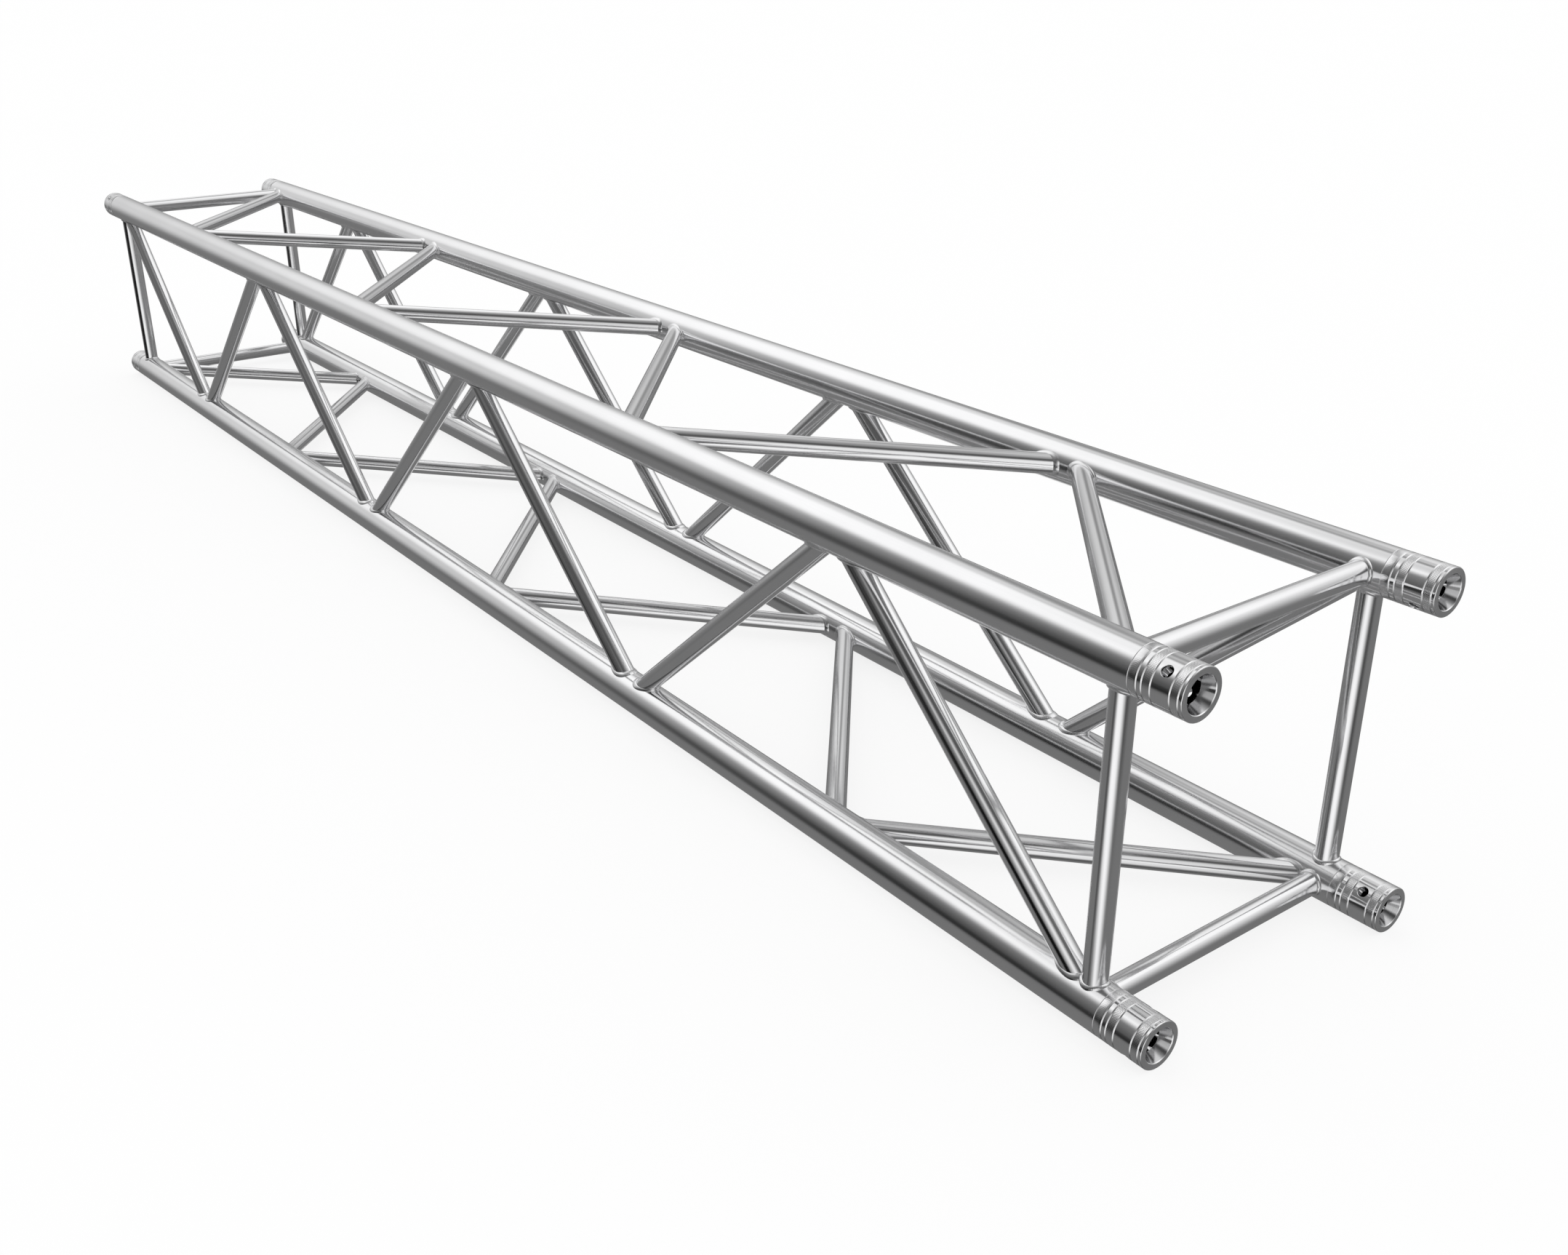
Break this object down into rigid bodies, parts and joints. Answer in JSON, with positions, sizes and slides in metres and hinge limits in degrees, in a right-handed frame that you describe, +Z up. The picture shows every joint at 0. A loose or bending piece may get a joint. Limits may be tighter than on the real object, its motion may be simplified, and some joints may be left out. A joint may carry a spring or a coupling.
{
  "type": "square box lighting truss section",
  "caption": "Straight square box truss section of welded aluminium tube, with zigzag bracing on every face and tapered pin sockets at both ends.",
  "frame": {"origin": "on the ground under the middle of the section", "axes": "+X along the section to its right end, -Y to the front, +Z up"},
  "size_m": [3, 0.4, 0.4],
  "materials": {
    "tube": "satin extruded tube with fine lengthwise drawing lines",
    "machined": "bright turned surface with grooves and two knurled bands",
    "weld": "matt rippled weld bead"
  },
  "bodies": {
    "root": {"chord_top_front": "tube", "chord_bottom_front": "tube", "chord_bottom_back": "tube", "chord_top_back": "tube", "receiver_left_top_front": "machined", "receiver_left_bottom_front": "machined", "receiver_left_bottom_back": "machined", "receiver_left_top_back": "machined", "receiver_right_top_front": "machined", "receiver_right_bottom_front": "machined", "receiver_right_bottom_back": "machined", "receiver_right_top_back": "machined", "end_brace_left_front": "tube", "end_brace_left_bottom": "tube", "end_brace_left_back": "tube", "end_brace_left_top": "tube", "end_brace_right_front": "tube", "end_brace_right_bottom": "tube", "end_brace_right_back": "tube", "end_brace_right_top": "tube", "diagonal_front_1": "tube", "diagonal_front_2": "tube", "diagonal_front_3": "tube", "diagonal_front_4": "tube", "diagonal_front_5": "tube", "diagonal_front_6": "tube", "diagonal_front_7": "tube", "diagonal_bottom_1": "tube", "diagonal_bottom_2": "tube", "diagonal_bottom_3": "tube", "diagonal_bottom_4": "tube", "diagonal_bottom_5": "tube", "diagonal_bottom_6": "tube", "diagonal_bottom_7": "tube", "diagonal_back_1": "tube", "diagonal_back_2": "tube", "diagonal_back_3": "tube", "diagonal_back_4": "tube", "diagonal_back_5": "tube", "diagonal_back_6": "tube", "diagonal_back_7": "tube", "diagonal_top_1": "tube", "diagonal_top_2": "tube", "diagonal_top_3": "tube", "diagonal_top_4": "tube", "diagonal_top_5": "tube", "diagonal_top_6": "tube", "diagonal_top_7": "tube", "brace_welds_front": "weld", "brace_welds_bottom": "weld", "brace_welds_back": "weld", "brace_welds_top": "weld", "receiver_welds_left": "weld", "receiver_welds_right": "weld"}
  },
  "joints": []
}
